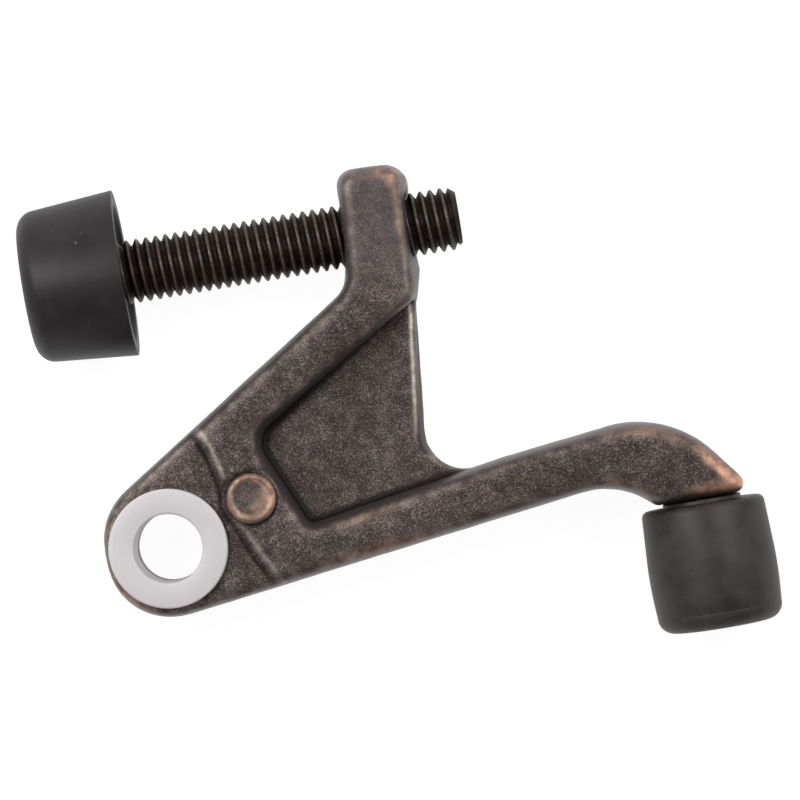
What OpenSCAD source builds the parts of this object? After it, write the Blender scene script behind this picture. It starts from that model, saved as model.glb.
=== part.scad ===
// Hinge-pin door stop. The hinge's own pin passes through the eye of a cast arm.
// A large bumper on an adjusting screw meets the door, and a small one on the fixed arm meets the wall trim.
// Origin: on the hinge-pin axis, halfway through the casting. +Z runs along the pin, +X along the screw.

/* [Hinge-pin eye] */
// Bore that takes the hinge pin
pin_bore_d = 8.6; // [6.5:0.1:10.4]
// Wall of the bush around the pin
bush_wall = 1.0; // [0.8:0.1:1.4]
// Diameter of the bush's flange
flange_d = 14.9; // [13:0.1:18]
// Thickness of the bush's flange
flange_t = 1.2; // [0.8:0.1:2]
// Length of the bush inside the eye
sleeve_l = 8.4; // [5:0.1:10.2]
// Outer diameter of the eye
eye_d = 16.3; // [16:0.1:20]
// Thickness of the casting at the eye
eye_t = 12.2; // [12:0.1:15]

/* [Cast arm] */
// Thickness of the ribs and the boss
body_t = 13.6; // [13:0.1:16.5]
// Thickness of the web between the ribs
web_t = 4.4; // [3:0.1:6]
// Height of the screw's axis above the pin's axis
screw_height = 35; // [29:0.5:42]
// Distance from the pin's axis to the middle of the boss
boss_reach = 32.1; // [27:0.1:38.5]
// Length of the boss along the screw
boss_l = 9.8; // [8:0.1:12]
// Metal above the screw's axis
boss_rise = 8.1; // [7:0.1:10]
// Distance from the pin's axis to the small bumper's axis
tip_reach = 66.9; // [60:0.1:81]
// Depth of the arm's end face below the pin's axis
tip_drop = 4.95; // [3:0.05:8]
// Height of the upper rib beside the eye
upper_rib_h = 7.3; // [6:0.1:9]
// Height of the lower rib beside the eye
lower_rib_h = 6.5; // [5:0.1:8]
// Height of the fixed arm
arm_h = 7.3; // [6:0.1:9]
// Fillet between the web's free edge and the fixed arm
web_fillet = 5; // [3:0.5:5]
// Diameter of the round ejector pad on the front
pad_d = 6.2; // [5:0.1:6.4]
// How far the pad stands above the ribs
pad_rise = 0.5; // [0.2:0.1:1]

/* [Adjusting screw] */
// Thread diameter
screw_d = 8; // [6:0.5:9.6]
// Thread pitch
pitch = 1.25; // [1:0.05:1.5]
// Length under the head
screw_l = 45; // [38:1:60]
// Diameter of the flat head
head_d = 14; // [11.5:0.1:16]
// Thickness of the flat head
head_t = 3; // [2:0.1:4]

/* [Large bumper] */
// Gap between the bumper and the boss as stored
bumper_gap = 27.2; // [22:0.1:33]
// Diameter at the open end
bumper_d = 21.1; // [20:0.1:25]
// Diameter at the front
bumper_front_d = 19; // [18:0.1:24]
// Length
bumper_l = 12.8; // [11:0.1:16]
// Rubber behind the screw's head
bumper_lip = 2.4; // [2:0.1:3]

/* [Small bumper] */
// Largest diameter
tip_d = 16.4; // [14:0.1:20]
// Length without its neck
tip_l = 15.7; // [13:0.1:19]
// Diameter of the neck
neck_d = 9.9; // [9:0.1:12]
// Length of the neck
neck_l = 0.55; // [0.3:0.05:1]
// Diameter of the cast spigot
spigot_d = 5; // [4:0.1:6]

/* [Fits] */
// Radial gap between the thread's crests and the hole in the boss
thread_gap = 0.1; // [0.08:0.01:0.15]
// Radial gap where the screw's head turns in the large bumper
swivel_gap = 0.08; // [0.05:0.01:0.1]
// Gap around pieces that are pushed together
push_gap = 0.03; // [0.02:0.01:0.05]

/* [Hidden] */
bronze = "#4f4440";
blackened = "#2b211d";
nylon = "#d4cdcc";
vinyl = "#2a2728";
rubber = "#35322f";
round_fn = 96;
corner_steps = 12;           // straight pieces in each rounded corner
least_r = 0.2;               // radius of corners that lie inside another shape
over = 1;                    // how far a cutting shape runs past what it cuts

// Places that follow from the sizes
eye_r = eye_d / 2;
boss_left = boss_reach - boss_l / 2;
boss_right = boss_reach + boss_l / 2;
tip_y = -tip_drop;
bumper_x = boss_left - bumper_gap;
head_x = bumper_x - bumper_lip;
screw_end = head_x + screw_l;
sleeve_d = pin_bore_d + 2 * bush_wall;

// ---- Outlines ----
// A corner is [x, y, radius]. Corners run anticlockwise.

function ahead(a, b) = [b[0] - a[0], b[1] - a[1]] / norm([b[0] - a[0], b[1] - a[1]]);
function left(u) = [-u[1], u[0]];
function turned(v, a) = [v[0] * cos(a) - v[1] * sin(a), v[0] * sin(a) + v[1] * cos(a)];
function turn(u, v) = atan2(u[0] * v[1] - u[1] * v[0], u * v);
function before(c, i) = c[(i + len(c) - 1) % len(c)];
function after(c, i) = c[(i + 1) % len(c)];

// Points of one rounded corner
function corner(a, b, c) =
    let (u = ahead(a, b), v = ahead(b, c), t = turn(u, v), side = t > 0 ? 1 : -1)
    let (start = [b[0], b[1]] - u * b[2] * tan(abs(t) / 2), centre = start + left(u) * side * b[2])
    [for (k = [0 : corner_steps]) centre + turned(start - centre, t * k / corner_steps)];

function outline(c) = [for (i = [0 : len(c) - 1]) each corner(before(c, i), c[i], after(c, i))];

// A slab of thickness t, centred on the middle plane
module slab(corners, t) {
    linear_extrude(t, center = true)
        polygon(outline(corners));
}

// Points of an arc around c, from angle a to angle b
function arc(c, r, a, b, steps = 8) = [for (k = [0 : steps])
    let (t = a + (b - a) * k / steps) [c[0] + r * cos(t), c[1] + r * sin(t)]];

// ---- Cast arm ----
// The body's lower and upper edges are the lines between these corners. The small offsets
// beside the sizes place each corner where the cast outline turns.
eye_low = [-eye_r, -eye_r - 1.85, eye_r];
eye_high = [-eye_r, eye_r - 2.65, eye_r];
arm_bend = [tip_reach - 10.4, tip_y + 3.75, 10];
boss_foot = [boss_left - 0.05, screw_height - 6.5, 3.5];

function on_line(a, b, x) = a[1] + (x - a[0]) * (b[1] - a[1]) / (b[0] - a[0]);
function low_edge(x) = on_line(eye_low, arm_bend, x);
function high_edge(x) = on_line(eye_high, boss_foot, x);

heel = [boss_right - 0.25, screw_height - 5.45, 1];
rib_end = [boss_right - 1.3, screw_height - 9.5, 1.2];
pocket_low_x = eye_r + 9.75;
pocket_high_x = eye_r + 4.55;
pocket_low = [pocket_low_x, low_edge(pocket_low_x) + lower_rib_h, 1];
pocket_high = [pocket_high_x, high_edge(pocket_high_x) - upper_rib_h, 3];
shoulder_x = rib_end[0] + 7.3;
shoulder = [shoulder_x, low_edge(shoulder_x) + arm_h, 20];

end_inside = 5.7;            // reach of the arm's end face on each side of the small bumper's axis
end_outside = 6.85;
bend_top = [tip_reach - 2.4, tip_y + 11.9, 14];
boss_top = screw_height + boss_rise;
boss_lean = 1;               // the boss's left side leans in by this much at its top

frame_corners = [
    eye_low,
    arm_bend,
    [tip_reach - end_inside, tip_y, 0.8],
    [tip_reach + end_outside, tip_y, 1.25],
    bend_top,
    shoulder,
    pocket_low,
    pocket_high,
    rib_end,
    heel,
    [boss_right + 0.1, boss_top - 0.1, 3.1],
    [boss_left + boss_lean, boss_top + 0.1, 2.1],
    boss_foot,
    eye_high];

// The web's free edge runs from the upper rib down to a fillet on the fixed arm.
web_sink = 0.06;             // keeps the web's edge just under the arm's top
web_out_x = shoulder_x - 2.4;
web_low_x = rib_end[0] - 2.35;
function arm_top(x) = on_line(pocket_low, shoulder, x) - web_sink;
web_corners = [
    [pocket_low_x - 2, low_edge(pocket_low_x) + 3, least_r],
    [web_out_x, low_edge(web_out_x) + 3, least_r],
    [web_out_x, arm_top(web_out_x), least_r],
    [web_low_x, arm_top(web_low_x), web_fillet],
    [rib_end[0] - 0.1, rib_end[1] + 0.5, least_r],
    [rib_end[0] - 5, high_edge(rib_end[0] - 5) - 4, least_r],
    [pocket_high_x - 1.5, high_edge(pocket_high_x) - 6, least_r]];

// The eye is thinner than the ribs: a step marks where they begin.
step_x = flange_d / 2 + 0.45;
step_corners = [
    [-eye_d, -eye_d - 9, least_r],
    [step_x + 8, -14.5, least_r],
    [step_x, 0.3, 4],
    [step_x - 1.9, 10.8, 3],
    [step_x - 6.8, 19, least_r],
    [-eye_d, eye_d + 9, least_r]];

pad_at = [step_x + 3, 4.45];
pad_ring = 0.8;              // width of the pad's rounded rim
pad_dish = 0.15;             // depth of its flat middle

module along_x(x) {
    translate([x, screw_height, 0])
        rotate([0, 90, 0])
            children();
}

module ejector_pad() {
    r = pad_d / 2;
    top = body_t / 2 + pad_rise;
    translate([pad_at[0], pad_at[1], 0])
        rotate_extrude($fn = round_fn)
            polygon(concat(
                [[0, 0], [r, 0]],
                arc([r - pad_ring / 2, top - pad_ring / 2], pad_ring / 2, 0, 135, 6),
                [[r - pad_ring, top - pad_dish], [0, top - pad_dish]]));
}

// Stem and barbed end that hold the small bumper, pointing down from the arm's end face
spigot_l = 9;
barb_d = spigot_d + 1.6;
barb_l = 2;                  // length of the barb's cone

module spigot() {
    translate([tip_reach, tip_y, 0])
        rotate([90, 0, 0])
            rotate_extrude($fn = round_fn)
                polygon([
                    [0, -2],
                    [spigot_d / 2, -2],
                    [spigot_d / 2, spigot_l - barb_l],
                    [barb_d / 2, spigot_l - barb_l],
                    [spigot_d / 2, spigot_l],
                    [0, spigot_l]]);
}

lead_in = 1.1;               // depth of the unthreaded mouth of the boss
lead_in_gap = 0.45;          // its radial gap around the thread

module arm_casting() {
    sleeve_floor = eye_t / 2 - sleeve_l - push_gap;
    color(bronze)
        difference() {
            union() {
                difference() {
                    slab(frame_corners, body_t);
                    for (side = [0, 1])
                        mirror([0, 0, side])
                            translate([0, 0, eye_t / 2])
                                linear_extrude(body_t)
                                    polygon(outline(step_corners));
                }
                slab(web_corners, web_t);
                ejector_pad();
                spigot();
            }
            cylinder(d = pin_bore_d, h = body_t + over, center = true, $fn = round_fn);
            translate([0, 0, sleeve_floor])
                cylinder(d = sleeve_d + 2 * push_gap, h = body_t, $fn = round_fn);
            along_x(boss_left - over)
                cylinder(d = screw_d + 2 * thread_gap, h = boss_l + 2 * over, $fn = round_fn);
            along_x(boss_right - lead_in)
                cylinder(d = screw_d + 2 * lead_in_gap, h = lead_in + over, $fn = round_fn);
        }
}

// ---- Bush ----
module pin_bush() {
    soft = 0.25;             // bevel on the flange's edges
    front = eye_t / 2 + flange_t;
    color(nylon)
        rotate_extrude($fn = round_fn)
            polygon([
                [pin_bore_d / 2, eye_t / 2 - sleeve_l],
                [sleeve_d / 2, eye_t / 2 - sleeve_l],
                [sleeve_d / 2, eye_t / 2],
                [flange_d / 2, eye_t / 2],
                [flange_d / 2, front - soft],
                [flange_d / 2 - soft, front],
                [pin_bore_d / 2 + soft, front],
                [pin_bore_d / 2, front - soft]]);
}

// ---- Adjusting screw ----
// The thread is one right-handed surface. Its rows follow the helix, four to a pitch:
// crest start, crest end, root start, root end.
thread_sides = 24;
row_phase = [0, 1/8, 7/16, 11/16];
thread_depth = 0.6134 * pitch;
thread_in = head_x - head_t / 2;     // the thread starts inside the head
end_bevel = 0.9;             // length of the bevel on the screw's free end
crest_at = bumper_x + 0.72;          // a crest on the upper side, as stored
first_row = crest_at - pitch * (ceil((crest_at - thread_in) / pitch) + 1);
last_row = 4 * ceil((screw_end - first_row) / pitch);

function row_x(i, j) = first_row + pitch * (floor(i / 4) + row_phase[i % 4] + j / thread_sides);
// Height of the thread, from 0 at the root to 1 at the crest, at a share p of the pitch
function rise(p) = p < 1/8 ? 1 : p < 7/16 ? (7/16 - p) / (5/16) : p < 11/16 ? 0 : (p - 11/16) / (5/16);
function phase(x, j) = let (p = (x - first_row) / pitch - j / thread_sides) p - floor(p);
function thread_r(x, p) = min(
    screw_d / 2 - thread_depth * (1 - rise(p)),
    screw_d / 2 - thread_depth * 0.9 + max(screw_end - x, 0) / end_bevel * thread_depth);
function around(x, r, j) =
    let (a = 360 * j / thread_sides) [x, r * cos(a), r * sin(a)];

function thread_point(i, j) =
    let (x = max(thread_in, min(screw_end, row_x(i, j))))
    let (p = x == row_x(i, j) ? row_phase[i % 4] : phase(x, j))
    around(x, thread_r(x, p), j);

// Rows that fall beyond an end share that end's ring.
function thread_index(i, j) =
    j == thread_sides ? thread_index(i + 4, 0) :
    row_x(i, j) <= thread_in ? j :
    row_x(i, j) >= screw_end ? last_row * thread_sides + j :
    i * thread_sides + j;

function unlike(t) = t[0] != t[1] && t[1] != t[2] && t[2] != t[0];

module thread() {
    start = (last_row + 1) * thread_sides;
    points = concat(
        [for (i = [0 : last_row], j = [0 : thread_sides - 1])
            i == 0 ? around(thread_in, thread_r(thread_in, phase(thread_in, j)), j) :
            i == last_row ? around(screw_end, thread_r(screw_end, phase(screw_end, j)), j) :
            thread_point(i, j)],
        [[thread_in, 0, 0], [screw_end, 0, 0]]);
    strip = [for (i = [0 : last_row - 1], j = [0 : thread_sides - 1])
        let (a = thread_index(i, j), b = thread_index(i + 1, j))
        let (c = thread_index(i + 1, j + 1), d = thread_index(i, j + 1))
        each [for (t = [[a, b, c], [a, c, d]]) if (unlike(t)) t]];
    ends = [for (j = [0 : thread_sides - 1])
        let (k = (j + 1) % thread_sides, e = last_row * thread_sides)
        each [[start, j, k], [start + 1, e + k, e + j]]];
    polyhedron(points = points, faces = concat(strip, ends));
}

module adjusting_screw() {
    color(blackened)
        union() {
            translate([0, screw_height, 0])
                thread();
            along_x(head_x - head_t)
                cylinder(d = head_d, h = head_t, $fn = round_fn);
        }
}

// ---- Large bumper ----
module door_bumper() {
    nose_r = 2;              // rounding of the front edge
    dome = 0.4;              // how far the front's flat middle stands out
    flat_r = 4;              // radius of that flat
    rim_w = 1.3;             // width of the rim round the open end
    rim_h = 0.8;             // depth inside that rim
    back = bumper_l;
    hole_r = screw_d / 2 + swivel_gap;
    front_r = bumper_front_d / 2;
    pocket_r = head_d / 2 + swivel_gap;
    pocket_top = back - bumper_lip + swivel_gap;
    pocket_floor = back - bumper_lip - head_t - swivel_gap;
    color(vinyl)
        along_x(bumper_x - bumper_l)
            rotate_extrude($fn = round_fn)
                polygon(concat(
                    [[0, 0], [flat_r, 0]],
                    arc([front_r - nose_r, dome + nose_r], nose_r, -84, -5),
                    [[bumper_d / 2, back],
                     [bumper_d / 2 - rim_w, back],
                     [bumper_d / 2 - rim_w, back - rim_h],
                     [hole_r, back - rim_h],
                     [hole_r, pocket_top],
                     [pocket_r, pocket_top],
                     [pocket_r, pocket_floor],
                     [0, pocket_floor]]));
}

// ---- Small bumper ----
module tip_bumper() {
    shoulder_r = 0.7;
    base_r = 2;
    belly_at = 9;            // distance of the largest diameter below the shoulder
    top_r = tip_d / 2 - 0.45;
    low_r = tip_d / 2 - 0.3;
    neck_top = push_gap;
    top = neck_top + neck_l;
    end = top + tip_l;
    hole_r = spigot_d / 2 + push_gap;
    color(rubber)
        translate([tip_reach, tip_y, 0])
            rotate([90, 0, 0])
                rotate_extrude($fn = round_fn)
                    polygon(concat(
                        [[hole_r, neck_top], [neck_d / 2, neck_top], [neck_d / 2, top]],
                        arc([top_r - shoulder_r, top + shoulder_r], shoulder_r, -90, 0, 5),
                        [[tip_d / 2, top + belly_at]],
                        arc([low_r - base_r, end - base_r], base_r, 0, 90),
                        [[0, end],
                         [0, spigot_l + push_gap],
                         [hole_r, spigot_l + push_gap],
                         [barb_d / 2 + push_gap, spigot_l - barb_l],
                         [barb_d / 2 + push_gap, spigot_l - barb_l - push_gap],
                         [hole_r, spigot_l - barb_l - push_gap]]));
}

arm_casting();
pin_bush();
adjusting_screw();
door_bumper();
tip_bumper();
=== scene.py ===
import math

import bmesh
import bpy
import numpy as np
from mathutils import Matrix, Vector


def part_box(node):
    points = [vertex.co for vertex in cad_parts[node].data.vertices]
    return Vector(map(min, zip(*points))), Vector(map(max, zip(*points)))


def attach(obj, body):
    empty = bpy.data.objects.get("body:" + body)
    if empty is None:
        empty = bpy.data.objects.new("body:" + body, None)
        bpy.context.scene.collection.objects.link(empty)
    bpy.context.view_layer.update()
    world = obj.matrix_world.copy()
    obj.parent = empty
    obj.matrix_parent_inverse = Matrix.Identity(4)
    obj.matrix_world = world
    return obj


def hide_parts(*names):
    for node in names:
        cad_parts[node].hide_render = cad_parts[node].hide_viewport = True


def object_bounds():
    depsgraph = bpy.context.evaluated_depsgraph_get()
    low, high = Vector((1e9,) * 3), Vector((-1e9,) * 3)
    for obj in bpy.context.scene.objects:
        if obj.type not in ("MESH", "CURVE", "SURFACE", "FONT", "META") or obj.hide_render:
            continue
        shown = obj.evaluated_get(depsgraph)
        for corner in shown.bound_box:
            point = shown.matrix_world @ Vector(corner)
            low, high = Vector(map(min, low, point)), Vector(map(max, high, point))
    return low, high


# A hinge-pin door stop lying on a white table, seen along its hinge pin.
# Lengths in the dictionaries are millimetres in the frame of the CAD model.
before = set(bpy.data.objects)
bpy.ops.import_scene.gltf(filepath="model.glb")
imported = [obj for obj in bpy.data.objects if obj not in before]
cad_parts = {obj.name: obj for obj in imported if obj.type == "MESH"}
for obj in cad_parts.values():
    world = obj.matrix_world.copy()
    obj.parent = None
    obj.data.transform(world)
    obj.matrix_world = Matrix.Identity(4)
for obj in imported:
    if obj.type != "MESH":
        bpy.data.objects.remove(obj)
cadLow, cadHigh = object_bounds()
mm = 0.001


def inMetres(*values):
    return Vector([value * mm for value in values])


cameraSet = {
    "aside": (0.35, 1.34),    # the lens stands this far from the middle of the object
    "height": 560,
    "roll": -9.47,            # degrees; the screw rises to the right
    "lens": 200,
    "sensor": 36,
}


def makeCamera():
    middle = (cadLow + cadHigh) / 2
    place = Vector((middle.x, middle.y, 0)) + inMetres(*cameraSet["aside"], cameraSet["height"])
    bpy.ops.object.camera_add(location=place, rotation=(0, 0, math.radians(cameraSet["roll"])))
    camera = bpy.context.object
    camera.data.lens = cameraSet["lens"]
    camera.data.sensor_width = cameraSet["sensor"]
    camera.data.clip_start = 0.01
    bpy.context.scene.camera = camera
    bpy.context.scene.view_settings.view_transform = "Standard"
    print("camera ready")


studio = {
    "worldHorizon": 1.0,      # brightness of the white surroundings
    "worldZenith": 0.22,      # brightness straight above
    "worldColour": (1.0, 0.965, 0.985, 1),
    "brightSide": (-0.25, 0.97, 0),   # the surroundings are brighter on this side
    "dimSideShare": 0.35,
    "tableGlow": 0.95,        # the table lights up by itself, like a photographer's
    "tableGrey": 0.10,
    "boxes": {                # place above the object, size and power of each softbox
        "left": ((-230, 150, 420), (120, 260), 1.5),
        "right": ((300, 90, 400), (110, 260), 1.1),
    },
}


def makeWorld():
    world = bpy.data.worlds.new("studio")
    bpy.context.scene.world = world
    world.use_nodes = True
    nodes = world.node_tree.nodes
    links = world.node_tree.links
    background = nodes["Background"]
    direction = nodes.new("ShaderNodeTexCoord")
    split = nodes.new("ShaderNodeSeparateXYZ")
    fade = nodes.new("ShaderNodeMapRange")
    fade.interpolation_type = "SMOOTHSTEP"
    fade.inputs["From Min"].default_value = 0.25
    fade.inputs["From Max"].default_value = 0.95
    fade.inputs["To Min"].default_value = studio["worldHorizon"]
    fade.inputs["To Max"].default_value = studio["worldZenith"]
    toSide = nodes.new("ShaderNodeVectorMath")
    toSide.operation = "DOT_PRODUCT"
    toSide.inputs[1].default_value = studio["brightSide"]
    side = nodes.new("ShaderNodeMapRange")
    side.inputs["From Min"].default_value = -0.8
    side.inputs["From Max"].default_value = 0.8
    side.inputs["To Min"].default_value = studio["dimSideShare"]
    both = nodes.new("ShaderNodeMath")
    both.operation = "MULTIPLY"
    background.inputs["Color"].default_value = studio["worldColour"]
    links.new(direction.outputs["Generated"], split.inputs[0])
    links.new(split.outputs["Z"], fade.inputs["Value"])
    links.new(direction.outputs["Generated"], toSide.inputs[0])
    links.new(toSide.outputs["Value"], side.inputs["Value"])
    links.new(fade.outputs["Result"], both.inputs[0])
    links.new(side.outputs["Result"], both.inputs[1])
    links.new(both.outputs["Value"], background.inputs["Strength"])


def makeSoftboxes():
    middle = (cadLow + cadHigh) / 2
    for name, (place, size, power) in studio["boxes"].items():
        bpy.ops.object.light_add(type="AREA", location=middle + inMetres(*place))
        light = bpy.context.object
        light.name = name + "Softbox"
        light.data.shape = "RECTANGLE"
        light.data.size = size[0] * mm
        light.data.size_y = size[1] * mm
        light.data.energy = power
        light.rotation_euler = (middle - light.location).to_track_quat("-Z", "Y").to_euler()


def leaveEdit():
    if bpy.context.mode != "OBJECT":
        bpy.ops.object.mode_set(mode="OBJECT")


def pick(obj):
    leaveEdit()
    bpy.ops.object.select_all(action="DESELECT")
    obj.select_set(True)
    bpy.context.view_layer.objects.active = obj


def edit(obj, selectAll=True):
    pick(obj)
    bpy.ops.object.mode_set(mode="EDIT")
    bpy.ops.mesh.select_mode(type="VERT")
    bpy.ops.mesh.select_all(action="SELECT" if selectAll else "DESELECT")


def newObject(name, mesh):
    obj = bpy.data.objects.new(name, mesh)
    bpy.context.scene.collection.objects.link(obj)
    return obj


def applyModifier(obj, kind, **settings):
    pick(obj)
    modifier = obj.modifiers.new(kind.lower(), kind)
    for key, value in settings.items():
        setattr(modifier, key, value)
    bpy.ops.object.modifier_apply(modifier=modifier.name)


def combine(obj, tool, operation):
    applyModifier(obj, "BOOLEAN", operation=operation, object=tool, solver="EXACT")
    bpy.data.objects.remove(tool)


def smoothShade(obj, degrees):
    pick(obj)
    bpy.ops.object.shade_smooth_by_angle(angle=math.radians(degrees))


def turned(name, outline, centre, axis, closed=False, steps=96):
    # The outline's corners are (along the axis, out from it, rounding) from the centre, in mm.
    # Every corner is rounded by a vertex bevel, then the line is spun round the axis.
    along = {"X": Vector((1, 0, 0)), "Y": Vector((0, 1, 0)), "Z": Vector((0, 0, 1))}[axis]
    out = Vector((0, 1, 0)) if axis == "X" else Vector((1, 0, 0))
    corners = [centre + (along * a + out * r) * mm for a, r, rounding in outline]
    count = len(corners)
    lines = [(i, i + 1) for i in range(count - 1)] + ([(count - 1, 0)] if closed else [])
    mesh = bpy.data.meshes.new(name)
    mesh.from_pydata(corners, lines, [])
    obj = newObject(name, mesh)
    for corner, (a, r, rounding) in zip(corners, outline):
        if rounding:
            edit(obj, False)
            shape = bmesh.from_edit_mesh(obj.data)
            for vertex in shape.verts:
                vertex.select = (vertex.co - corner).length < 1e-7
            shape.select_flush_mode()
            bmesh.update_edit_mesh(obj.data)
            segments = max(3, min(10, round(rounding * 5)))
            bpy.ops.mesh.bevel(offset=rounding * mm, segments=segments, affect="VERTICES")
    edit(obj)
    bpy.ops.mesh.spin(steps=steps, angle=2 * math.pi, center=centre, axis=along)
    bpy.ops.mesh.select_all(action="SELECT")
    bpy.ops.mesh.remove_doubles(threshold=1e-7)
    bpy.ops.mesh.normals_make_consistent(inside=False)
    leaveEdit()
    return obj


class Wire:
    # One output of a node. Sums on it add Math nodes: 1 - a, a * b, a + 0.2.
    def __init__(self, finish, socket):
        self.finish = finish
        self.socket = socket

    def maths(self, operation, first, second):
        return self.finish.node("Math", {"operation": operation}, {0: first, 1: second})

    def __add__(self, other):
        return self.maths("ADD", self, other)

    def __radd__(self, other):
        return self.maths("ADD", other, self)

    def __sub__(self, other):
        return self.maths("SUBTRACT", self, other)

    def __rsub__(self, other):
        return self.maths("SUBTRACT", other, self)

    def __mul__(self, other):
        return self.maths("MULTIPLY", self, other)

    def __rmul__(self, other):
        return self.maths("MULTIPLY", other, self)

    def size(self):
        return self.maths("ABSOLUTE", self, 0.0)

    def between(self, low, high):
        # 0 below low, 1 above high, and smooth from one to the other
        return self.finish.node("MapRange", {"interpolation_type": "SMOOTHSTEP"},
                                {"Value": self, "From Min": low, "From Max": high})

    def clamped(self):
        return self.finish.node("Clamp", {}, {"Value": self})


class Finish:
    # A material: its nodes, and the Principled shader that they feed
    def __init__(self, name):
        self.material = bpy.data.materials.new(name)
        self.material.use_nodes = True
        self.tree = self.material.node_tree
        self.shader = self.tree.nodes["Principled BSDF"]
        self.place = self.node("TexCoord", output="Object")

    def node(self, kind, settings=None, sockets=None, output=0):
        made = self.tree.nodes.new("ShaderNode" + kind)
        for key, value in (settings or {}).items():
            if key == "stops":
                self.setStops(made.color_ramp, value)
            else:
                setattr(made, key, value)
        for key, value in (sockets or {}).items():
            if isinstance(value, Wire):
                self.tree.links.new(value.socket, made.inputs[key])
            else:
                made.inputs[key].default_value = value
        return Wire(self, made.outputs[output])

    def setStops(self, ramp, stops):
        while len(ramp.elements) < len(stops):
            ramp.elements.new(1)
        for element, (position, colour) in zip(ramp.elements, stops):
            element.position = position
            element.color = (*colour, 1)

    def noise(self, size, detail=2, roughness=0.5, stretch=(1, 1, 1), distortion=0):
        # size is the width of a typical grain, in mm
        place = self.place
        if stretch != (1, 1, 1):
            place = self.node("Mapping", {}, {"Vector": place, "Scale": stretch})
        return self.node("TexNoise", {}, {
            "Vector": place, "Scale": 1 / (size * mm), "Detail": detail,
            "Roughness": roughness, "Distortion": distortion})

    def attribute(self, name):
        return self.node("Attribute", {"attribute_name": name}, output="Fac")

    def blend(self, share, first, second, kind="MIX"):
        colours = [c if isinstance(c, Wire) else (*c, 1) for c in (first, second)]
        return self.node("Mix", {"data_type": "RGBA", "blend_type": kind},
                         {0: share, 6: colours[0], 7: colours[1]}, output=2)

    def bump(self, height, depth, strength=1.0):
        # depth is the height of a full step, in mm
        self.feed("Normal", self.node("Bump", {}, {
            "Height": height, "Distance": depth * mm, "Strength": strength}))

    def feed(self, name, value):
        if isinstance(value, Wire):
            self.tree.links.new(value.socket, self.shader.inputs[name])
        else:
            self.shader.inputs[name].default_value = value


def paint(obj, finish):
    obj.data.materials.clear()
    obj.data.materials.append(finish.material)


def addPiece(obj, body, node, finish):
    paint(obj, finish)
    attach(obj, body)
    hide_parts(node)
    print(obj.name, "ready:", len(obj.data.polygons), "faces")


castArm = {
    "voxel": 0.30,
    # How far the walls lean in at each height above and below the middle plane
    "wallHeights": (0, 4.2, 5.6, 6.4, 6.8),
    "wallLeans": (0, 0.12, 0.38, 0.72, 1.05),
    "levelling": 12,          # rounds of smoothing for the whole surface
    "softening": 44,          # further rounds for proud edges
    "holdMiddle": (1.0, 4.2), # the outline stays sharp up to the first height and is soft from the second
    "webEdge": ((31.5, 6.4), (42.0, 25.4)),     # the web's free edge lies in this rectangle
    "webSlope": 0.50,         # its lean for each unit of height
    "webHigh": 2.3,
    "webLine": ((35.6, 26.0), (33.35, 6.6)),
    "webWearAndHighlightIn": 0.78,        # the worn line, with a painted highlight on it, runs this far inside the web's edge
    # The step beside the eye: its foot runs along these lines; then the groove there and the slope's width
    "stepLines": (((15.9, -14.5), (7.9, 0.3)), ((7.9, 0.3), (6.0, 10.8)), ((6.0, 10.8), (1.1, 19.0))),
    "stepFoot": 0.55,
    "stepGroove": 0.13,
    "stepRun": 1.15,
    "bossRight": ((35.6, 28.8), (38.0, 41.5)),  # the boss's right face leans in more
    "bossRightSlope": 0.2,    # on the front half
    "plugR": 5.7,             # fills the eye while the casting is softened
    "bossLeft": 27.61,        # where the boss's faces cross the screw's axis
    "bossEnd": 36.89,
    "bossLeans": (4.1, 1.5),  # how they lean across the screw, in degrees
    "bossSlope": 0.03,        # everywhere else
    "bossPlugR": 4.7,
    "waviness": ((5.0, 0.10), (1.1, 0.05)),     # size and height of the cast surface's unevenness
    "padAt": (11.2, 4.45),
    "padDishOff": (-0.22, 0.16),      # the pad's flat middle isn't quite central
    "padR": 3.15,
    "padFlatR": 2.15,
    "padTop": 7.3,
    "padSeat": 6.68,          # level of the face around the pad
    "grooveDepth": 0.14,
    "copperSpots": {          # x, y, radius, strength: where tumbling rubbed through to copper
        "armEnd": (70.5, -2.5, 7, 1.7),
        "armBend": (62, 5, 9, 0.35),
        "armBelly": (58, 0, 6, 0.25),
        "bossTop": (34.8, 40.0, 4.5, 0.5),
        "bossFace": (36, 35, 5, 0.35),
        "lowerRib": (26, -6, 10, 0.45),
        "eyeRim": (-6, -4, 5, 0.5),
    },
    "boreR": 4.3,
    "sleeveR": 5.33,
    "sleeveFloor": -2.33,
    "holeR": 4.1,
    "mouthR": 4.25,
    "mouthDepth": 1.1,
}


def inside(x, y, rectangle):
    (left, low), (right, high) = rectangle
    return (x > left) & (x < right) & (y > low) & (y < high)


def onWebEdge(x, y, z):
    return inside(x, y, castArm["webEdge"]) & (abs(z) < castArm["webHigh"])


def leanAt(x, y, z):
    height = abs(z)
    if onWebEdge(x, y, z):
        return castArm["webSlope"] * height
    lean = np.interp(height, castArm["wallHeights"], castArm["wallLeans"])
    if z > 0 and inside(x, y, castArm["bossRight"]):
        lean = max(lean, castArm["bossRightSlope"] * height)
    return lean


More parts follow.
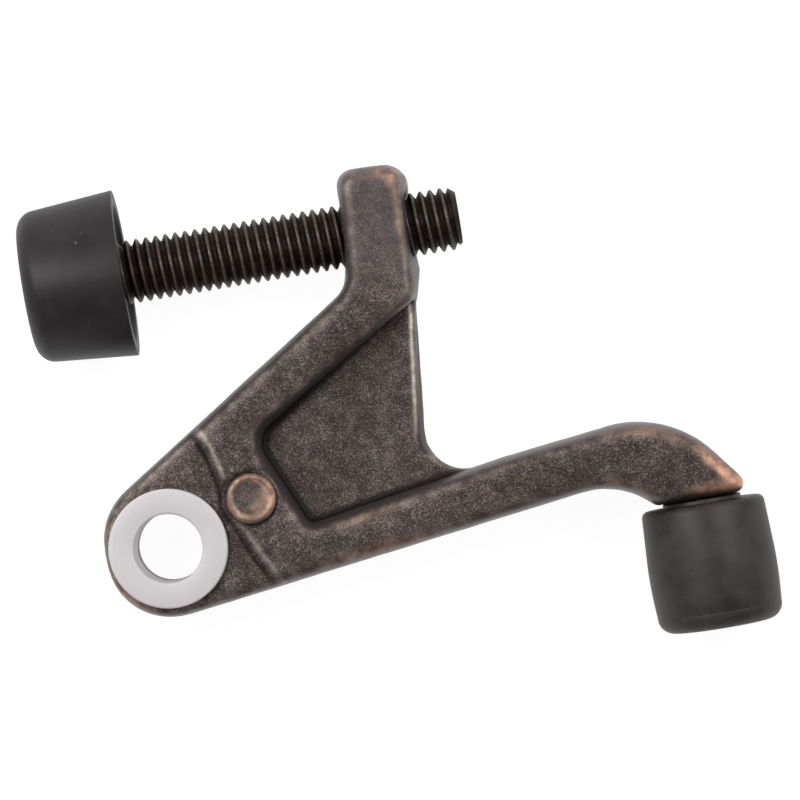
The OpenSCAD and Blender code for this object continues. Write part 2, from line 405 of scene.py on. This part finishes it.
def leanWalls(obj):
    # Draft and large rounding: each corner of the walls moves into the metal, more with its height.
    edit(obj)
    bpy.ops.mesh.remove_doubles(threshold=1e-7)
    heights = castArm["wallHeights"][:-1]
    for height in heights + tuple(-h for h in heights[1:]):
        bpy.ops.mesh.select_all(action="SELECT")
        bpy.ops.mesh.bisect(plane_co=(0, 0, height * mm), plane_no=(0, 0, 1))
    leaveEdit()
    shape = bmesh.new()
    shape.from_mesh(obj.data)
    shape.normal_update()
    moves = {}
    for vertex in shape.verts:
        walls = [f.normal for f in vertex.link_faces if abs(f.normal.z) < 0.2 and f.calc_area() > 1e-12]
        if walls:
            lean = leanAt(*(vertex.co / mm)) * mm
            sides = np.array([(n.x, n.y) for n in walls])
            x, y = np.linalg.lstsq(sides, np.full(len(walls), -lean), rcond=0.05)[0]
            moves[vertex] = (x, y, 2 * lean)
    for vertex, (x, y, limit) in moves.items():
        length = math.hypot(x, y)
        scale = min(1, limit / length) if length else 0
        vertex.co.x += x * scale
        vertex.co.y += y * scale
    shape.to_mesh(obj.data)
    shape.free()


def plugHole(obj, radius, length, centre, turn, faces=()):
    # A solid rod where a bore is, so that softening doesn't reach the bore's edges.
    # Its ends are cut to the casting's faces.
    bpy.ops.object.select_all(action="DESELECT")
    bpy.ops.mesh.primitive_cylinder_add(vertices=64, radius=radius * mm, depth=length * mm,
                                        location=centre, rotation=turn)
    plug = bpy.context.object
    if faces:
        edit(plug)
    for place, normal in faces:
        bpy.ops.mesh.select_all(action="SELECT")
        bpy.ops.mesh.bisect(plane_co=place, plane_no=normal, use_fill=True, clear_outer=True)
    pick(plug)
    obj.select_set(True)
    bpy.context.view_layer.objects.active = obj
    bpy.ops.object.join()


def vertexVectors(mesh, name="co"):
    values = np.empty(len(mesh.vertices) * 3)
    mesh.vertices.foreach_get(name, values)
    return values.reshape(-1, 3)


def moveVertices(mesh, places):
    mesh.vertices.foreach_set("co", places.ravel())
    mesh.update()


def step(values, low, high):
    share = np.clip((values - low) / (high - low), 0, 1)
    return share * share * (3 - 2 * share)


class Neighbours:
    # Averages values over each vertex's neighbours, round by round
    def __init__(self, mesh):
        ends = np.empty(len(mesh.edges) * 2, int)
        mesh.edges.foreach_get("vertices", ends)
        self.first, self.second = ends.reshape(-1, 2).T
        self.count = len(mesh.vertices)
        self.degree = self.gather(np.ones(self.count))

    def gather(self, values):
        forth = np.bincount(self.first, values[self.second], self.count)
        return forth + np.bincount(self.second, values[self.first], self.count)

    def spread(self, values, rounds):
        for turn in range(rounds):
            values = 0.5 * values + 0.5 * self.gather(values) / self.degree
        return values


def proudness(mesh, near, rounds):
    # How far each vertex stands out of the surface round it, in mm; below 0 in hollows
    places = vertexVectors(mesh) / mm
    relaxed = np.stack([near.spread(places[:, k], rounds) for k in range(3)], 1)
    return ((places - relaxed) * vertexVectors(mesh, "normal")).sum(1)


def softenEdges(obj, screwY):
    # Smoothing rounds the proud edges. Inner corners and the outline round the middle plane are held.
    sharp = vertexVectors(obj.data)
    applyModifier(obj, "SMOOTH", factor=0.5, iterations=castArm["levelling"])
    level = vertexVectors(obj.data)
    near = Neighbours(obj.data)
    inner = near.spread(step(-proudness(obj.data, near, 14), 0.03, 0.15), 3)
    applyModifier(obj, "SMOOTH", factor=0.5, iterations=castArm["softening"])
    soft = vertexVectors(obj.data)
    soft += (level - soft) * inner[:, None]
    x, y, z = sharp.T / mm
    hold = 1 - step(np.abs(z), *castArm["holdMiddle"])
    webHold = 1 - step(np.abs(z), 0.1, 1.3)
    hold = near.spread(np.where(onWebEdge(x, y, z), webHold, hold), 3)
    hold *= step(np.hypot(y - screwY / mm, z), castArm["bossPlugR"], castArm["bossPlugR"] + 1.5)
    moveVertices(obj.data, soft + (sharp - soft) * hold[:, None])


def addWaviness(obj, size, height):
    clouds = bpy.data.textures.new("unevenness", "CLOUDS")
    clouds.noise_scale = size * mm
    applyModifier(obj, "DISPLACE", texture=clouds, strength=height * mm, mid_level=0.5,
                  texture_coords="LOCAL")


def fromLine(places, start, end):
    # Distance of each place from a line, in plan; above 0 on the left of the way from start to end
    along = np.subtract(end, start) / np.linalg.norm(np.subtract(end, start))
    return (places[:, 1] - start[1]) * along[0] - (places[:, 0] - start[0]) * along[1]


def fromStep(places):
    # Distance beyond the step's foot, on the side of the ribs
    low, middle, high = (-fromLine(places, *line) for line in castArm["stepLines"])
    bend = -np.logaddexp(-2 * low, -2 * middle) / 2
    return np.logaddexp(2 * bend, 2 * high) / 2 - castArm["stepFoot"]


def cutStep(obj):
    # The step's foot is a fine groove, and the ribs' faces begin sharply above its slope.
    places = vertexVectors(obj.data)
    gap = fromStep(places / mm)
    up = step(np.abs(places[:, 2]), 4.9 * mm, 5.8 * mm)
    shape = 0.10 * np.exp(-((gap - castArm["stepRun"]) / 0.45) ** 2)
    shape -= castArm["stepGroove"] * np.exp(-(gap / 0.35) ** 2)
    places[:, 2] += np.sign(places[:, 2]) * up * shape * mm
    moveVertices(obj.data, places)


def seatPad(obj):
    # The face is levelled under the ejector pad and sinks in a narrow groove round it.
    centre = inMetres(*castArm["padAt"])
    places = vertexVectors(obj.data)
    aside = (places[:, 0] - centre.x) / mm
    above = (places[:, 1] - centre.y) / mm
    gap = np.hypot(aside, above) - castArm["padR"]
    up = places[:, 2] > 5.5 * mm
    pull = up * (1 - step(gap, 0.2, 0.8))
    places[:, 2] += (castArm["padSeat"] * mm - places[:, 2]) * pull
    deep = 0.6 - 0.4 * (aside + above) / np.hypot(aside, above).clip(0.1)     # deepest at the lower left
    places[:, 2] -= up * np.exp(-((gap - 0.1) / 0.35) ** 2) * deep * castArm["grooveDepth"] * mm
    moveVertices(obj.data, places)


def markSurface(obj, screwY):
    # Attributes for the finish: wear on proud edges, partly rubbed and partly a painted highlight; line where an edge
    # is rubbed and painted bright as a highlight;
    # painted shade in corners, creases and bores; wall on upright faces; copper where the finish is rubbed through
    mesh = obj.data
    near = Neighbours(mesh)
    places = vertexVectors(mesh) / mm
    normals = vertexVectors(mesh, "normal")
    proud = near.spread(proudness(mesh, near, 14), 2)
    sunk = near.spread(-proudness(mesh, near, 6), 1)
    copper = np.zeros(len(places))
    for x, y, radius, strength in castArm["copperSpots"].values():
        gap = np.hypot(places[:, 0] - x, places[:, 1] - y)
        copper = np.maximum(copper, strength * (1 - step(gap, 0.3 * radius, radius)))
    padX, padY = castArm["padAt"]
    offX, offY = castArm["padDishOff"]
    onPad = (places[:, 2] > castArm["padSeat"] + 0.1)
    onPad = onPad * (np.hypot(places[:, 0] - padX, places[:, 1] - padY) < castArm["padR"] + 0.1)
    ring = np.hypot(places[:, 0] - padX - offX, places[:, 1] - padY - offY)
    rim = onPad * step(ring, castArm["padFlatR"] - 0.35, castArm["padFlatR"] + 0.15)
    aroundPad = np.exp(-((np.hypot(places[:, 0] - padX, places[:, 1] - padY) - 3.8) / 0.5) ** 2)
    height = np.abs(places[:, 2])
    # A painted highlight along the web's free edge, on a rubbed line
    webLine = np.exp(-((-fromLine(places, *castArm["webLine"]) - castArm["webWearAndHighlightIn"]) / 0.20) ** 2)
    webLine *= onWebEdge(*places.T) * step(places[:, 1], 8, 12) * step(height, 1.0, 1.6)
    stepLine = np.exp(-((fromStep(places) - castArm["stepRun"]) / 0.25) ** 2) * (height > 5.5) * (1 - aroundPad)
    # Proud edges: rubbed wear, and also a painted highlight where rounded edges catch the light
    wear = np.clip(proud / 0.12, 0, 1) * (1 - 0.75 * aroundPad)
    inEye = np.hypot(places[:, 0], places[:, 1]) < castArm["boreR"] + 0.02
    inBoss = np.hypot(places[:, 1] - screwY / mm, places[:, 2]) < castArm["mouthR"] + 0.02
    marks = {
        "wear": np.maximum.reduce([wear, rim, 0.35 * onPad, 0.7 * stepLine]),
        "line": np.maximum(webLine, 0.2 * stepLine),
        # Painted shade: creases and the insides of both bores are marked to be painted dark
        "hollow": np.maximum(np.clip(sunk / 0.06, 0, 1) * (1 - onPad), inEye | inBoss),
        "wall": (1 - np.abs(near.spread(normals[:, 2], 2))) * (1 - rim),
        "copper": np.maximum(copper, 0.7 * rim),
    }
    for name, values in marks.items():
        attribute = mesh.attributes.new(name, "FLOAT", "POINT")
        attribute.data.foreach_set("value", values.astype(np.float32))


def makeCastArm(screwY):
    arm = newObject("cast_arm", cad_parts["arm_casting"].data.copy())
    leanWalls(arm)
    plugHole(arm, castArm["plugR"], 12.1, (0, 0, 0), (0, 0, 0))
    left = castArm["bossLeft"]
    right = castArm["bossEnd"]
    slope = castArm["bossSlope"]
    leftLean, rightLean = (math.radians(lean) for lean in castArm["bossLeans"])
    faces = []
    for x, out, turn, front in ((left, -1, leftLean, slope), (right, 1, rightLean, castArm["bossRightSlope"])):
        for up in (front, -slope):
            faces.append(((x * mm, screwY, 0), (out * math.cos(turn), -out * math.sin(turn), up)))
    bossMiddle = ((left + right) / 2 * mm, screwY, 0)
    plugHole(arm, castArm["bossPlugR"], right - left + 4, bossMiddle, (0, math.pi / 2, 0), faces)
    applyModifier(arm, "REMESH", mode="VOXEL", voxel_size=castArm["voxel"] * mm)
    softenEdges(arm, screwY)
    for size, height in castArm["waviness"]:
        addWaviness(arm, size, height)
    cutStep(arm)
    seatPad(arm)
    print("cast arm softened:", len(arm.data.polygons), "faces")

    padR = castArm["padR"]
    flatR = castArm["padFlatR"]
    top = castArm["padTop"]
    pad = turned("pad", [
        (5, 0, 0), (5, padR, 0), (top - 0.02, padR, 0.5),
        (top, padR - 0.55, 0.3), (top - 0.14, flatR, 0.2), (top - 0.14, 0, 0)],
        inMetres(*castArm["padAt"], 0), "Z", steps=64)
    combine(arm, pad, "UNION")
    boreR = castArm["boreR"]
    bore = turned("bore", [
        (-9, 0, 0), (-9, boreR + 0.7, 0), (-6.1, boreR + 0.5, 0), (-5.6, boreR, 0),
        (castArm["sleeveFloor"], boreR, 0), (castArm["sleeveFloor"], castArm["sleeveR"], 0),
        (9, castArm["sleeveR"], 0), (9, 0, 0)], Vector(), "Z")
    combine(arm, bore, "DIFFERENCE")
    holeR = castArm["holeR"]
    mouthR = castArm["mouthR"]
    hole = turned("hole", [
        (left - 3, 0, 0), (left - 3, holeR, 0),
        (right - castArm["mouthDepth"], holeR, 0), (right - castArm["mouthDepth"] + 0.3, mouthR, 0),
        (right + 3, mouthR, 0), (right + 3, 0, 0)], Vector((0, screwY, 0)), "X")
    combine(arm, hole, "DIFFERENCE")
    markSurface(arm, screwY)
    smoothShade(arm, 38)
    addPiece(arm, "arm", "arm_casting", bronzedCasting())


def bronzedCasting():
    finish = Finish("bronzedCasting")
    wear = finish.attribute("wear")
    hollow = finish.attribute("hollow")
    wall = finish.attribute("wall")
    bare = finish.attribute("copper")
    line = finish.attribute("line")
    grain = finish.noise(0.24, 3, 0.7)
    flecks = finish.noise(0.14, 2, 0.6, distortion=0.4)
    mottle = finish.noise(2.0, 5, 0.65)
    broad = finish.noise(9, 3, 0.5)
    face = 1 - wall.between(0.06, 0.4)

    # The tumbled faces are speckled; the walls are smoother and painted a little lighter, a painted reflection of the
    # white surroundings.
    speckle = (grain.between(0.40, 0.72) * 0.5 + flecks.between(0.50, 0.74) * 0.6) * (face * 0.8 + 0.2)
    # Painted shade lowers the tone in creases and bores
    tone = (speckle * 0.85 + mottle.between(0.3, 0.75) * 0.25 + broad.between(0.3, 0.7) * 0.1 - hollow * 0.3).clamped()
    patina = finish.node("ValToRGB", {"stops": [
        (0.0, (0.022, 0.017, 0.016)), (0.35, (0.068, 0.053, 0.049)), (1.0, (0.360, 0.300, 0.270))]},
        {"Fac": tone})
    onBoss = (finish.node("SeparateXYZ", {}, {0: finish.place}, output=1) * 1000).between(26.5, 31)
    bossSmoothAndSheen = finish.blend(onBoss * 0.4, patina, (0.114, 0.098, 0.100))     # the boss is smoother and less speckled, with a painted sheen
    # Painted reflection: upright walls are coloured lighter
    paintedWallSheen = finish.blend(wall.between(0.12, 0.7), bossSmoothAndSheen, (0.118, 0.097, 0.100))
    patches = mottle.between(0.36, 0.64)
    # Proud edges turn beige: partly rubbed wear, partly a painted highlight
    rubbedAndSheen = (wear.between(0.15, 0.95) * (patches * 0.75 + 0.25) * (flecks.between(0.3, 0.6) * 0.4 + 0.6)).clamped()
    beige = finish.blend(rubbedAndSheen * 0.75, paintedWallSheen, (0.340, 0.285, 0.245))
    through = (bare * wear.between(0.12, 0.75) * (patches * 0.6 + 0.4)).clamped()
    copper = finish.blend(through * 0.9, beige, (0.560, 0.315, 0.215))
    # Painted highlight: near white along the web's edge and the step's top
    edgeHighlight = finish.blend(line * (patches * 0.5 + 0.5), copper, (0.780, 0.710, 0.630))
    # Painted shade: near black in creases and inside the bores
    dark = finish.blend(hollow.between(0.1, 0.9) * 0.85, edgeHighlight, (0.014, 0.012, 0.011))
    height = finish.node("SeparateXYZ", {}, {0: finish.place}, output=2) * 1000
    seam = (1 - height.size().between(0.04, 0.12)) * wall.between(0.4, 0.9)
    finish.feed("Base Color", finish.blend(seam * 0.6, dark, (0.030, 0.026, 0.025)))
    finish.feed("Metallic", 0.85)
    finish.feed("Roughness", (0.54 - wall.between(0.2, 0.8) * 0.14 - rubbedAndSheen * 0.12 + grain * 0.10).clamped())
    finish.bump(grain * 0.6 + flecks * 0.5 + mottle * 0.8 + seam * 1.5, 0.05, 0.9)
    return finish


bush = {
    "boreR": 4.3,
    "sleeveR": 5.3,
    "flangeT": 1.2,
    "edge": 0.3,
}


def makeBush():
    low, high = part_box("pin_bush")
    bottom = low.z / mm
    top = high.z / mm
    seat = top - bush["flangeT"]
    flangeR = high.x / mm
    edge = bush["edge"]
    obj = turned("hinge_bush", [
        (bottom, bush["boreR"], 0.15), (bottom, bush["sleeveR"], 0.3), (seat, bush["sleeveR"], 0),
        (seat, flangeR, 0.2), (top, flangeR, edge), (top, bush["boreR"], edge)],
        Vector(), "Z", closed=True, steps=128)
    smoothShade(obj, 40)
    addPiece(obj, "arm", "pin_bush", whiteNylon())


def whiteNylon():
    finish = Finish("whiteNylon")
    cloud = finish.noise(6, 3, 0.5)
    fine = finish.noise(0.5, 2, 0.5)
    finish.feed("Base Color", finish.blend(cloud, (0.520, 0.500, 0.508), (0.585, 0.562, 0.570)))
    finish.feed("Roughness", 0.42 + fine * 0.12)
    finish.feed("Subsurface Weight", 0.35)
    finish.feed("Subsurface Radius", (1.0, 0.9, 0.85))
    finish.feed("Subsurface Scale", 0.0012)
    finish.bump(fine, 0.01, 0.5)
    return finish


screw = {
    "pitch": 1.25,
    "threadR": 4.0,
    "rootR": 3.24,
    "crest": 0.26,            # flat of a crest, in mm along the screw
    "root": 0.16,
    "edge": 0.08,             # rounding of the profile's corners
    "crestAt": 0.72,          # a crest on the upper side, from the large bumper's back
    "steps": 48,
    "headT": 3,
    "bevelL": 1.0,            # bevel on the free end, along the screw and across it
    "bevelR": 0.78,
}


def makeScrew(screwY):
    low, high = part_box("adjusting_screw")
    start = low.x / mm
    end = high.x / mm
    pitch = screw["pitch"]
    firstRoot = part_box("door_bumper")[1].x / mm + screw["crestAt"] - pitch / 2
    firstRoot -= pitch * (math.ceil((firstRoot - start) / pitch) + 1)
    turns = math.ceil((end - firstRoot) / pitch) + 1
    rootHalf = screw["root"] / 2
    crestHalf = screw["crest"] / 2
    rootR = screw["rootR"]
    threadR = screw["threadR"]
    line = [(0, rootR), (rootHalf, rootR), (pitch / 2 - crestHalf, threadR),
            (pitch / 2 + crestHalf, threadR), (pitch - rootHalf, rootR), (pitch, rootR)]
    mesh = bpy.data.meshes.new("adjusting_bolt")
    mesh.from_pydata([((firstRoot + x) * mm, r * mm, 0) for x, r in line], [(i, i + 1) for i in range(5)], [])
    bolt = newObject("adjusting_bolt", mesh)
    edit(bolt)
    bpy.ops.mesh.select_all(action="DESELECT")
    shape = bmesh.from_edit_mesh(bolt.data)
    shape.verts.ensure_lookup_table()
    for k in (1, 2, 3, 4):
        shape.verts[k].select = True
    bmesh.update_edit_mesh(bolt.data)
    bpy.ops.mesh.bevel(offset=screw["edge"] * mm, segments=2, affect="VERTICES")
    leaveEdit()
    applyModifier(bolt, "SCREW", axis="X", angle=2 * math.pi, screw_offset=pitch * mm, iterations=turns,
                  steps=screw["steps"], render_steps=screw["steps"], use_merge_vertices=True,
                  merge_threshold=1e-7, use_smooth_shade=True)
    edit(bolt)
    bpy.ops.mesh.remove_doubles(threshold=1e-6)
    bpy.ops.mesh.select_all(action="SELECT")
    bpy.ops.mesh.bisect(plane_co=((start + 1) * mm, 0, 0), plane_no=(1, 0, 0), use_fill=True, clear_inner=True)
    bpy.ops.mesh.select_all(action="SELECT")
    bpy.ops.mesh.bisect(plane_co=((end + 0.5) * mm, 0, 0), plane_no=(1, 0, 0), use_fill=True, clear_outer=True)
    bpy.ops.mesh.select_all(action="SELECT")
    bpy.ops.mesh.normals_make_consistent(inside=False)
    bpy.ops.transform.translate(value=(0, screwY, 0))
    leaveEdit()
    slope = screw["bevelR"] / screw["bevelL"]
    outside = threadR + 1     # the bevelling tool is wider than the thread
    tip = turned("tip", [
        (start - 1, 0, 0), (start - 1, outside, 0), (end - (outside - threadR + screw["bevelR"]) / slope, outside, 0),
        (end, threadR - screw["bevelR"], 0), (end, 0, 0)], Vector((0, screwY, 0)), "X", steps=64)
    combine(bolt, tip, "INTERSECT")
    headR = (high.z - low.z) / 2 / mm
    head = turned("head", [
        (start, 0, 0), (start, headR, 0.3), (start + screw["headT"], headR, 0.3), (start + screw["headT"], 0, 0)],
        Vector((0, screwY, 0)), "X", steps=64)
    combine(bolt, head, "UNION")
    smoothShade(bolt, 35)
    addPiece(bolt, "screw", "adjusting_screw", blackenedSteel(screwY))


def blackenedSteel(screwY):
    finish = Finish("blackenedSteel")
    centred = finish.node("Mapping", {}, {"Vector": finish.place, "Location": (0, -screwY, 0), "Scale": (0, 1, 1)})
    radius = finish.node("VectorMath", {"operation": "LENGTH"}, {0: centred}, output="Value") * 1000
    crest = radius.between(screw["threadR"] - 0.14, screw["threadR"] - 0.02)
    stain = finish.noise(1.6, 4, 0.65)
    fine = finish.noise(0.25, 3, 0.6)
    oxide = finish.blend(stain.between(0.35, 0.7), (0.012, 0.009, 0.008), (0.045, 0.028, 0.020))
    # Crests lighter: partly worn metal, partly a painted glint along each crest
    crestWearAndGlint = crest * (fine.between(0.3, 0.65) * 0.8 + 0.2)
    finish.feed("Base Color", finish.blend(crestWearAndGlint, oxide, (0.120, 0.098, 0.082)))
    finish.feed("Metallic", 0.7)
    finish.feed("Roughness", 0.5 - crestWearAndGlint * 0.12 + fine * 0.1)
    finish.bump(fine, 0.02, 0.6)
    return finish


largeBumper = {
    "frontR": 9.5,
    "noseR": 2.0,
    "dome": 0.4,
    "flatR": 4,
    "rimW": 1.8,
    "rimH": 0.8,
    "holeR": 4.08,
    "pocketR": 7.08,
    "lip": 2.4,
    "headT": 3,
    "gap": 0.08,
}


def makeLargeBumper(screwY):
    low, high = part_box("door_bumper")
    front = low.x / mm
    back = high.x / mm
    backR = (high.z - low.z) / 2 / mm
    b = largeBumper
    pocketTop = back - b["lip"] + b["gap"]
    pocketFloor = back - b["lip"] - b["headT"] - b["gap"]
    obj = turned("large_bumper", [
        (front, 0, 0), (front, b["flatR"], 0.3), (front + b["dome"], b["frontR"] - 0.05, b["noseR"]),
        (back, backR, 0.18), (back, backR - b["rimW"], 0.25), (back - b["rimH"], backR - b["rimW"] - 0.25, 0.25),
        (back - b["rimH"], b["holeR"], 0.1), (pocketTop, b["holeR"], 0), (pocketTop, b["pocketR"], 0),
        (pocketFloor, b["pocketR"], 0), (pocketFloor, 0, 0)],
        Vector((0, screwY, 0)), "X", steps=128)
    smoothShade(obj, 40)
    addPiece(obj, "bumper", "door_bumper", blackVinyl())


def blackVinyl():
    finish = Finish("blackVinyl")
    handling = finish.noise(5, 4, 0.6)
    fine = finish.noise(0.4, 3, 0.6)
    dust = finish.noise(0.9, 2, 0.4)
    specks = dust.between(0.74, 0.80)
    base = finish.blend(handling.between(0.3, 0.7), (0.012, 0.010, 0.0105), (0.021, 0.018, 0.019))
    finish.feed("Base Color", finish.blend(specks * 0.6, base, (0.20, 0.19, 0.19)))
    finish.feed("Roughness", 0.40 + handling * 0.14 + specks * 0.2)
    finish.feed("Specular IOR Level", 0.30)
    finish.bump(fine * 0.5 + handling * 1.5, 0.02, 0.5)
    return finish


smallBumper = {
    "neckR": 4.95,
    "neckL": 0.55,
    "shoulderR": 0.8,
    "bellyAt": 9,
    "topInset": 0.45,
    "lowInset": 0.3,
    "baseR": 2.0,
    "holeR": 2.53,
    "holeL": 9,
    "mouldLineAt": 2.1,       # height of the moulding line above the base
    "mouldLineW": 0.08,
    "mouldLineDepth": 0.04,
}


def makeSmallBumper():
    low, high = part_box("tip_bumper")
    s = smallBumper
    bellyR = (high.x - low.x) / 2 / mm
    axisX = (high.x + low.x) / 2
    top = high.y / mm
    bottom = low.y / mm
    shoulder = top - s["neckL"]
    line = bottom + s["mouldLineAt"]
    lineW = s["mouldLineW"]
    lineR = bellyR - s["lowInset"]
    obj = turned("small_bumper", [
        (top, s["holeR"], 0), (top, s["neckR"], 0.15), (shoulder, s["neckR"], 0.15),
        (shoulder, bellyR - s["topInset"], s["shoulderR"]), (shoulder - s["bellyAt"], bellyR, 2.5),
        (line + lineW, lineR, 0), (line, lineR - s["mouldLineDepth"], 0), (line - lineW, lineR, 0),
        (bottom, bellyR - s["lowInset"], s["baseR"]), (bottom, 0, 0)],
        Vector((axisX, 0, 0)), "Y", steps=128)
    smoothShade(obj, 40)
    addPiece(obj, "arm", "tip_bumper", darkRubber())


def darkRubber():
    finish = Finish("darkRubber")
    bloom = finish.noise(3.5, 4, 0.6)
    streaks = finish.noise(0.5, 3, 0.6, stretch=(1, 0.15, 1))
    fine = finish.noise(0.3, 3, 0.6)
    base = finish.blend(bloom.between(0.3, 0.72), (0.015, 0.013, 0.012), (0.034, 0.028, 0.024))
    finish.feed("Base Color", base)
    finish.feed("Roughness", 0.42 + bloom * 0.16)
    finish.feed("Specular IOR Level", 0.36)
    finish.bump(fine * 0.6 + streaks * 0.6, 0.02, 0.6)
    return finish


def makeTable():
    pick(bpy.context.scene.camera)
    bpy.ops.mesh.primitive_plane_add(size=6, location=(0, 0, cadLow.z - 0.00002))
    table = bpy.context.object
    table.name = "white_table"
    finish = Finish("whiteTable")
    finish.feed("Base Color", (studio["tableGrey"],) * 3 + (1,))
    finish.feed("Roughness", 0.9)
    finish.feed("Specular IOR Level", 0.0)
    finish.feed("Emission Color", (1, 1, 1, 1))
    finish.feed("Emission Strength", studio["tableGlow"])
    paint(table, finish)


makeCamera()
makeWorld()
makeSoftboxes()
makeTable()
screwLow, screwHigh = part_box("adjusting_screw")
screwAxisY = (screwLow.y + screwHigh.y) / 2
makeCastArm(screwAxisY)
makeBush()
makeScrew(screwAxisY)
makeLargeBumper(screwAxisY)
makeSmallBumper()

leaveEdit()
